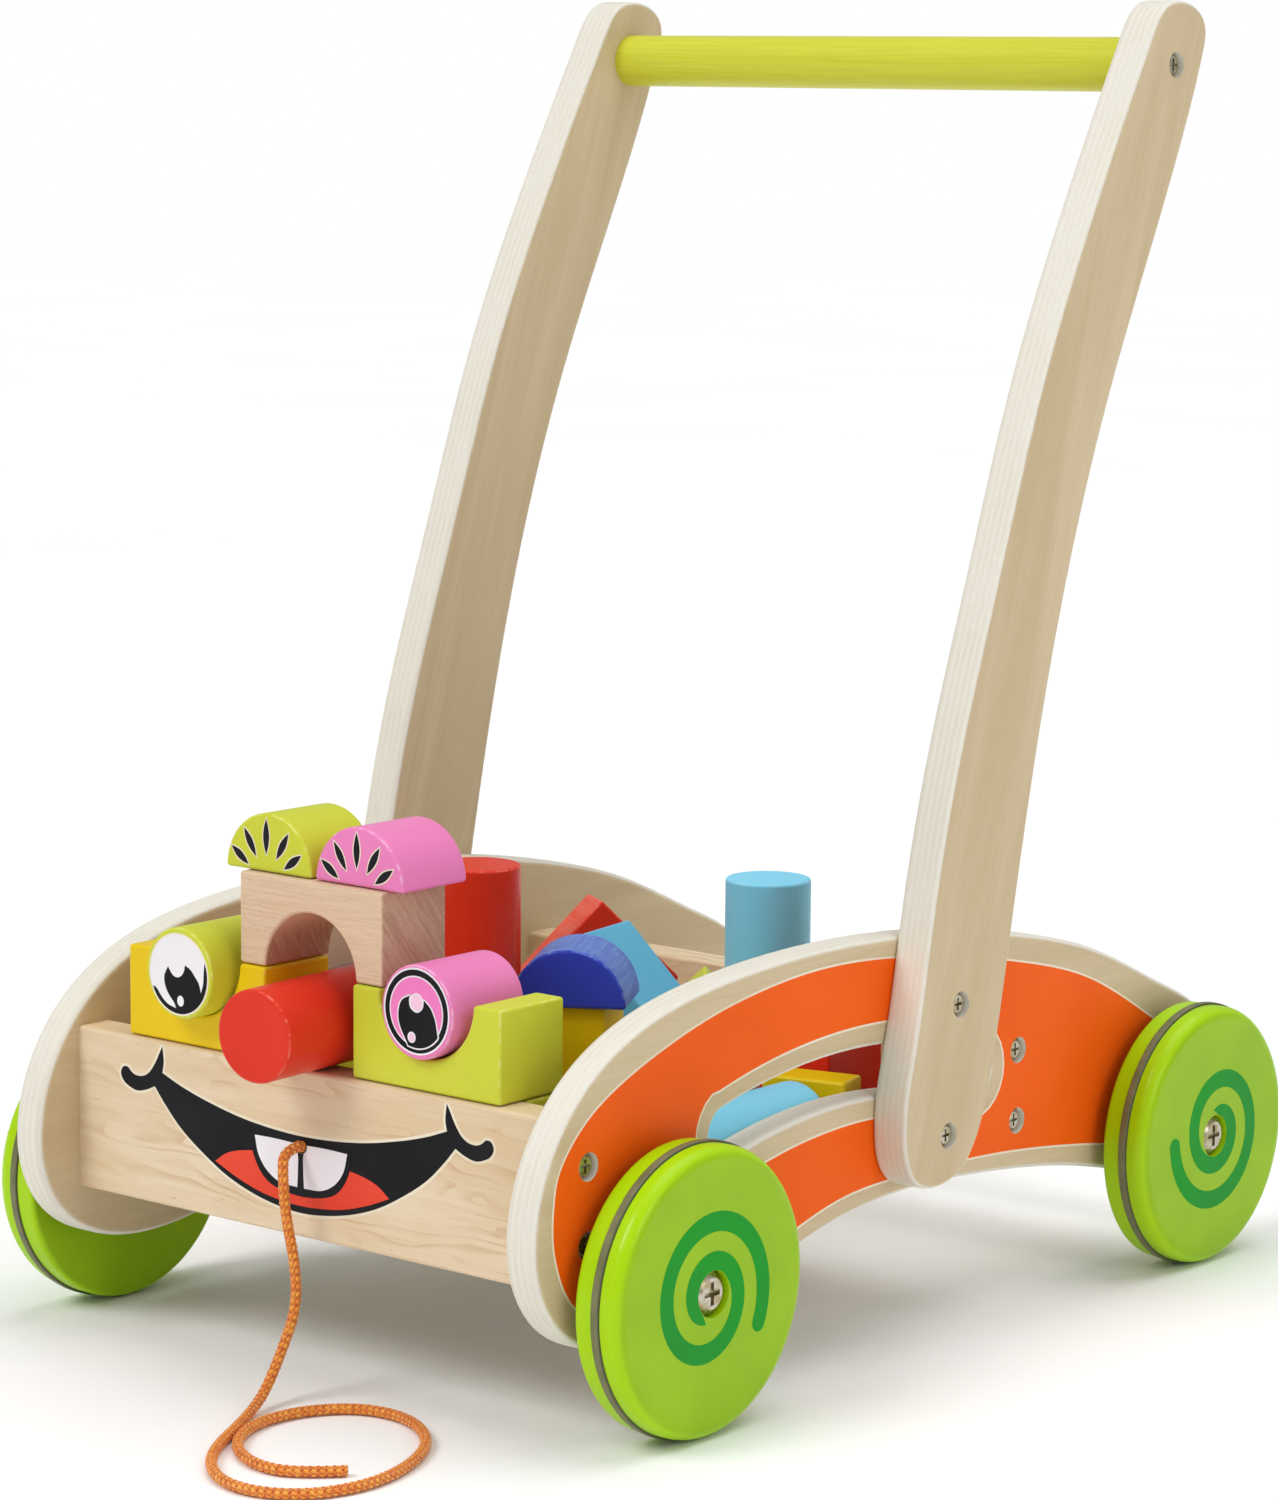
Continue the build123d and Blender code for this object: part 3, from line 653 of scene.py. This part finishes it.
black = ink("ink_black", "17171A", "1F1F23")
cream = ink("ink_cream", "F2E8D2", "EADDC2")
white = ink("ink_white", "F4F1F3", "E9E5EA")
tongue_red = ink("ink_red", "EC4F38", "E04430")
pink = ink("ink_pink", "F587C6", "EF7CBD")
pale_pink = ink("ink_pale_pink", "F9CFE4", "F5C4DD")
orange = ink("ink_orange", "FA6410", "F45E0C", 0.42)
green = ink("ink_green", "179C26", "1F9430", 0.38)

FILM = 0.05                       # height of each further layer over the face, mm
FRONT_AXLE_Y = -141.0             # mm


# orange field on a side panel, in (distance behind the front axle, height)
FIELD = [
    (-52.4, 84.0), (-48.0, 98.5), (-31.0, 114.0), (0.0, 127.3), (40.0, 137.7), (88.0, 142.6), (140.0, 139.4),
    (199.0, 129.5), (248.0, 116.6), (290.0, 96.0), (318.0, 78.0), (327.0, 64.0), (318.0, 49.5), (303.0, 43.0),
    (251.0, 52.5), (196.0, 59.0), (140.0, 61.2), (98.0, 59.3), (50.0, 47.0), (10.0, 38.3), (-22.0, 38.3),
    (-42.5, 50.5), (-51.3, 67.0),
]
SLOT_ENDS = ((36.5, 94.0), (180.0, 91.5))
SLOT_TOP = (108.0, 102.2)
BARE_BORDER = 17.3                # of bare wood, from the middle of the slot


def slot_outline(half_width, steps=36):
    """Outline that follows the arched slot at a distance from its middle line."""
    a, b, c = Vector(SLOT_ENDS[0]), Vector(SLOT_TOP), Vector(SLOT_ENDS[1])
    chord = c - a
    middle = (a + c) / 2
    rise = (b - middle).y
    radius = (chord.length / 2) ** 2 / (2 * rise) + rise / 2
    centre = Vector((b.x, b.y - radius))
    start = math.atan2(a.y - centre.y, a.x - centre.x)
    end = math.atan2(c.y - centre.y, c.x - centre.x)
    rays = [heading(start + (end - start) * k / steps) for k in range(steps + 1)]
    upper = [centre + ray * (radius + half_width) for ray in rays]
    lower = [centre + ray * (radius - half_width) for ray in reversed(rays)]
    half_turn = [math.pi * k / 12 for k in range(1, 12)]
    rear = [c + heading(end - turned) * half_width for turned in half_turn]
    front = [a + heading(start + math.pi - turned) * half_width for turned in half_turn]
    return upper + rear + lower + front


SCREWS = [(station, height) for station in (-35.5, 206.0) for height in (69.0, 95.4)]
SCREW_HOLE_R = 4.9
PANEL_LINE = 0.8                  # width of the pale line round the orange


def make_panel_print(side_name, side):
    face = face_at((side * PANEL_OUT, 0, 0), (0, side, 0), (0, 0, 1))
    holes = [disc(screw, SCREW_HOLE_R, 32) for screw in SCREWS]
    field = smooth_loop(FIELD)
    layers = (
        ("panel_line_", [grown(field, PANEL_LINE), slot_outline(BARE_BORDER - PANEL_LINE), *holes], cream),
        ("panel_orange_", [field, slot_outline(BARE_BORDER), *holes], orange),
    )
    for level, (name, outlines, material) in enumerate(layers, 1):
        placed = [[Vector((side * (p.x + FRONT_AXLE_Y), p.y)) for p in outline] for outline in outlines]
        film(name + side_name, placed, level * FILM, face, material, "cart")


make_panel_print("right", 1)
make_panel_print("left", -1)


# smile on the front board, in (x, z)
board_face = face_at((0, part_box("front_board")[0].y, 0), (1, 0, 0), (0, 0, 1))


def mirrored(outline):
    return [Vector((-p.x, p.y)) for p in outline]


def both_sides(half):
    """Closed outline from its right half, which runs from the top to the bottom of the middle line."""
    places = [Vector(point) for point in half]
    return places + mirrored(reversed([p for p in places if p.x > 0]))


# right half of the mouth: upper lip, spike, curl with its ball, lower lip
UPPER_LIP = [(0.0, 87.8), (15.0, 88.4), (30.0, 90.1), (45.0, 93.1), (57.0, 96.3), (67.0, 99.9)]
SPIKE = [(66.3, 103.9), (66.9, 109.3), (68.5, 106.6), (70.3, 103.3)]
CURL = [(73.3, 99.4), (76.5, 97.5), (80.0, 97.2), (82.4, 98.1), (84.4, 99.6), (86.6, 99.3), (87.7, 97.2),
        (86.9, 95.0), (84.6, 93.2), (80.0, 91.8), (75.2, 92.7), (70.8, 94.6)]
LOWER_LIP = [(65.5, 88.7), (57.8, 81.5), (48.0, 75.0), (36.2, 68.7), (24.2, 64.5), (12.0, 62.0), (0.0, 61.0)]

# right halves of the tongue and of the dark field under the teeth, and the right tooth
TONGUE = [(0.0, 79.6), (12.0, 79.6), (23.5, 79.2), (34.4, 76.8), (41.1, 72.7), (30.2, 68.4), (18.1, 65.1),
          (6.0, 63.7), (0.0, 63.5)]
GAP = [(0.0, 86.4), (12.0, 86.4), (23.4, 86.0), (22.9, 79.2), (18.6, 72.0), (12.0, 68.3), (0.0, 66.8)]
TOOTH = [(3.1, 85.0), (12.4, 85.2), (21.8, 85.0), (20.0, 78.4), (15.8, 73.3), (9.6, 70.3), (1.6, 69.8),
         (1.3, 75.5), (1.3, 81.2), (2.7, 83.0)]
SMILE_LINE = 1.0                  # width of the pale line round the mouth
CORD_HOLE = (CORD_EXIT[0] / MM, CORD_EXIT[2] / MM)
CORD_HOLE_R = 2.7


def smooth_both_sides(half, sharp):
    """Smooth outline of both halves, with the same sharp corners in each."""
    whole = both_sides(half)
    return smooth_loop(whole, corners=(*sharp, *(len(whole) - i for i in sharp)))


def make_smile():
    half = [*UPPER_LIP, *SPIKE, *CURL, *LOWER_LIP]
    spike_foot = len(UPPER_LIP) - 1
    cheek = len(half) - len(LOWER_LIP) - 1
    mouth = smooth_both_sides(half, (spike_foot, spike_foot + 2, cheek))
    tooth = smooth_loop(TOOTH, corners=(0, 2, 6))
    hole = disc(CORD_HOLE, CORD_HOLE_R, 24)
    layers = (
        ("smile_line", [grown(mouth, SMILE_LINE), hole], 1, cream),
        ("smile_mouth", [mouth, hole], 2, black),
        ("smile_tongue", [smooth_both_sides(TONGUE, (4,))], 3, tongue_red),
        ("smile_gap", [smooth_both_sides(GAP, (2,)), hole], 4, black),
        ("smile_tooth_right", [tooth], 5, white),
        ("smile_tooth_left", [mirrored(tooth)], 5, white),
    )
    for name, outlines, level, material in layers:
        film(name, outlines, level * FILM, board_face, material, "cart")


make_smile()


# eyes on the fronts of two cylinders, from the middle of each
def front_of(name, up):
    """Face on the front of a block, with its origin this many millimetres above the block's underside."""
    low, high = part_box(name)
    return face_at(((low.x + high.x) / 2, low.y, low.z + up * MM), (1, 0, 0), (0, 0, 1))


def dark_with_rim(rim, rim_corners, radius, first, last, steps=20):
    """Dark shape of an eye: an upper rim given point by point, closed by an arc of the eye's circle under it.
    """
    count = len(rim)
    below = [heading(math.radians(first + (last - first) * k / steps)) * radius for k in range(steps + 1)]
    return smooth_loop([*rim, *below], corners=(*rim_corners, count, count + steps), steps=6)


# upper rims of the dark shapes: lids and pupil of the lime eye, pupil of the pink one
LIME_RIM = [(-12.6, -5.5), (-10.8, -6.1), (-8.4, -8.8), (-5.3, -11.0), (-1.2, -12.0), (-2.5, -9.9),
            (-4.9, -7.5), (-6.6, -4.6), (-7.0, -1.2), (-5.2, 2.2), (-4.0, 0.6), (-2.6, -0.7), (-0.7, -1.1),
            (1.3, -0.3), (2.6, 1.5), (3.1, 3.6), (5.8, 2.3), (7.8, 0.3), (9.8, -2.1), (10.8, -5.2),
            (11.9, -1.8), (12.2, 1.9)]
PINK_RIM = [(-3.8, -11.3), (-6.6, -6.9), (-7.8, -3.7), (-7.8, -0.1), (-6.3, 3.2), (-2.7, 5.1), (-3.2, 3.4),
            (-2.5, 0.9), (0.4, -0.4), (3.0, 1.4), (3.5, 4.2), (6.4, 1.9), (8.5, -2.0)]
LIME_EYE_UP, PINK_EYE_UP = 15.7, 16.4       # middle of each eye above its cylinder's underside
MIDDLE = (0, 0)
SPARK, SHINE = (-1.9, -8.9), (0.3, 3.0)     # middles of the pink eye's two highlights


def print_eye(which, up, layers):
    """Layers of (name, outline, level, ink) on the front of one of the two cylinders."""
    block = which + "_eye_cylinder"
    face = front_of(block, up)
    for name, outline, level, material in layers:
        film("%s_eye_%s" % (which, name), [outline], level * FILM, face, material, block + "_block")


lime_dark = dark_with_rim(LIME_RIM, (4, 9, 15, 19), 13.8, 24, -157.3)
print_eye("lime", LIME_EYE_UP, (
    ("line", disc(MIDDLE, 14.5), 1, cream),
    ("white", disc(MIDDLE, 13.9), 2, white),
    ("dark", lime_dark, 3, black),
    ("spark", ellipse((0.9, -9.2), 1.6, 1.9, 24), 4, white),
))
pink_dark = dark_with_rim(PINK_RIM, (5, 10), 12.3, -38, -108)
print_eye("pink", PINK_EYE_UP, (
    ("line", disc(MIDDLE, 14.7), 1, white),
    ("ring", disc(MIDDLE, 14.05), 2, black),
    ("inner_line", disc(MIDDLE, 12.0), 3, white),
    ("iris", disc(MIDDLE, 11.5), 4, pink),
    ("dark_line", grown(pink_dark, 0.5), 5, white),
    ("dark", pink_dark, 6, black),
    ("shine_line", ellipse(SHINE, 3.1, 3.2, 32), 7, white),
    ("shine", ellipse(SHINE, 2.6, 2.7, 32), 8, pale_pink),
    ("spark_line", ellipse(SPARK, 1.8, 1.9, 24), 7, white),
    ("spark", ellipse(SPARK, 1.3, 1.4, 24), 8, pale_pink),
))


# lashes, as (tip, foot), on the fronts of the two half-rounds that stand over the eyes
LASHES = [((-17.3, 7.5), (-9.2, 1.8)), ((-11.3, 14.3), (-5.6, 4.9)), ((-0.8, 18.4), (-0.8, 6.0)),
          ((9.7, 14.3), (4.0, 4.9)), ((15.7, 7.5), (7.6, 1.8))]
LASH_HALF_WIDTH = 1.4
LASH_LINE = 0.5                   # width of the pale line round a lash
POINT_GROWTH = 1.6                # of a lash's points, for each mm that its sides grow
LEAF = [(-1, 0), (-0.5, -0.72), (0.05, -1), (0.55, -0.66), (1, 0), (0.55, 0.66), (0.05, 1), (-0.5, 0.72)]


def lash(tip, foot, wider):
    """Leaf shape that is pointed at both ends."""
    tip, foot = Vector(tip), Vector(foot)
    ahead = (tip - foot).normalized()
    along = ahead * ((tip - foot).length / 2 + POINT_GROWTH * wider)
    across = Vector((-ahead.y, ahead.x)) * (LASH_HALF_WIDTH + wider)
    return smooth_loop([(tip + foot) / 2 + along * a + across * b for a, b in LEAF], corners=(0, 4))


for brow in ("lime", "pink"):
    block = brow + "_brow_half_round"
    body = block + "_block"
    face = front_of(block, 0.0)
    for number, (tip, foot) in enumerate(LASHES, 1):
        film("%s_lash_line_%d" % (brow, number), [lash(tip, foot, LASH_LINE)], FILM, face, cream, body)
        film("%s_lash_%d" % (brow, number), [lash(tip, foot, 0.0)], 2 * FILM, face, black, body)


# spiral on each wheel, seen from outside, with its middle a little off the wheel's
SPIRAL_TURN = math.radians(647)
SPIRAL_START_R = 5.4
SPIRAL_GROWTH = 13.4              # of the radius in each turn
SPIRAL_HALF_WIDTH = 3.4
SPIRAL_OFFSET = 2.5
OFFSET_TURN = math.radians(-61)   # of the offset, from the spiral's start
RECESS_R = 8.0
RECESS_GAP = 0.1                  # between the print and the recess
LEAST_WIDTH = 0.4                 # of the print beside the recess
SPIRAL_STARTS = {"front_right": 260, "rear_right": 110, "front_left": 200, "rear_left": 15}


def spiral_outline(start, steps=110):
    """Band that winds outwards clockwise from the recess, with a round outer end."""
    outer, inner = [], []
    middle = heading(start + OFFSET_TURN) * SPIRAL_OFFSET
    rim = RECESS_R + RECESS_GAP
    for k in range(steps + 1):
        swept = SPIRAL_TURN * k / steps
        radius = SPIRAL_START_R + SPIRAL_GROWTH * swept / (2 * math.pi)
        ray = heading(start - swept)
        far, near = middle + ray * (radius + SPIRAL_HALF_WIDTH), middle + ray * (radius - SPIRAL_HALF_WIDTH)
        if far.length > rim + LEAST_WIDTH:
            outer.append(far)
            inner.append(near if near.length > rim else near.normalized() * rim)
    tip = (outer[-1] + inner[-1]) / 2
    spoke = (outer[-1] - inner[-1]).normalized() * SPIRAL_HALF_WIDTH
    ahead = Vector((spoke.y, -spoke.x))
    round_end = [heading(math.pi * k / 10) for k in range(1, 10)]
    return outer + [tip + spoke * turn.x + ahead * turn.y for turn in round_end] + inner[::-1]


for wheel, start in SPIRAL_STARTS.items():
    side = 1 if wheel.endswith("right") else -1
    low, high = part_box(wheel + "_outer_disc")
    middle = (low + high) / 2
    face = face_at((high.x if side > 0 else low.x, middle.y, middle.z), (0, side, 0), (0, 0, 1))
    film(wheel + "_spiral", [spiral_outline(math.radians(start))], FILM, face, green, wheel + "_wheel")


# ---------------------------------------------------------------- studio
FLOOR_R = 9.0
FILL_STRENGTH = 0.39


def make_floor():
    """Round floor, as white as the backdrop round it."""
    f = Finish("studio_floor", roughness=0.9, specular=0.05)
    tone = f.grain((0.5, 0.5, 0.5), detail=2.0)
    f.paint(f.mix(f.step(tone, 0.3, 0.7), colour("FFFFFF"), colour("FCFCFC")))
    mesh = bpy.data.meshes.new("studio_floor")
    rim = [(p.x, p.y, 0.0) for p in disc((0, 0), FLOOR_R, 96)]
    mesh.from_pydata(rim, [], [list(range(len(rim)))])
    mesh.materials.append(f.material)
    floor = bpy.data.objects.new("studio_floor", mesh)
    scene.collection.objects.link(floor)


def aim(light, place, target):
    """Put a light in the scene, turned towards a target."""
    light.location = place
    light.rotation_mode = "QUATERNION"
    light.rotation_quaternion = (Vector(target) - Vector(place)).to_track_quat("-Z", "Y")
    scene.collection.objects.link(light)


def make_sun(name, place, strength, spread):
    """Light from far away, as bright on the whole floor; its place is only a direction."""
    data = bpy.data.lights.new(name, "SUN")
    data.energy = strength
    data.angle = math.radians(spread)
    aim(bpy.data.objects.new(name, data), place, (0, 0, 0))


def make_softbox(name, place, target, width, power):
    data = bpy.data.lights.new(name, "AREA")
    data.shape = "DISK"
    data.size = width
    data.energy = power
    aim(bpy.data.objects.new(name, data), place, target)


def make_world():
    """White surround to the camera, and a weaker light on everything else."""
    world = bpy.data.worlds.new("studio")
    world.use_nodes = True
    tree = world.node_tree
    shown = tree.nodes["Background"]
    shown.inputs["Color"].default_value = (1, 1, 1, 1)
    shown.inputs["Strength"].default_value = 1.0
    fill = tree.nodes.new("ShaderNodeBackground")
    fill.inputs["Color"].default_value = (0.98, 0.99, 1.0, 1)
    fill.inputs["Strength"].default_value = FILL_STRENGTH
    which = tree.nodes.new("ShaderNodeLightPath")
    mix = tree.nodes.new("ShaderNodeMixShader")
    tree.links.new(which.outputs["Is Camera Ray"], mix.inputs[0])
    tree.links.new(fill.outputs[0], mix.inputs[1])
    tree.links.new(shown.outputs[0], mix.inputs[2])
    tree.links.new(mix.outputs[0], tree.nodes["World Output"].inputs["Surface"])
    scene.world = world


make_floor()
make_world()
make_sun("key", (-0.35, -1.0, 1.1), 1.3, 26)
make_sun("top", (0.15, 0.25, 1.0), 1.15, 50)
make_softbox("side", (2.2, -0.3, 1.2), (0, 0, 0.15), 1.2, 8)
scene.view_settings.view_transform = "Standard"
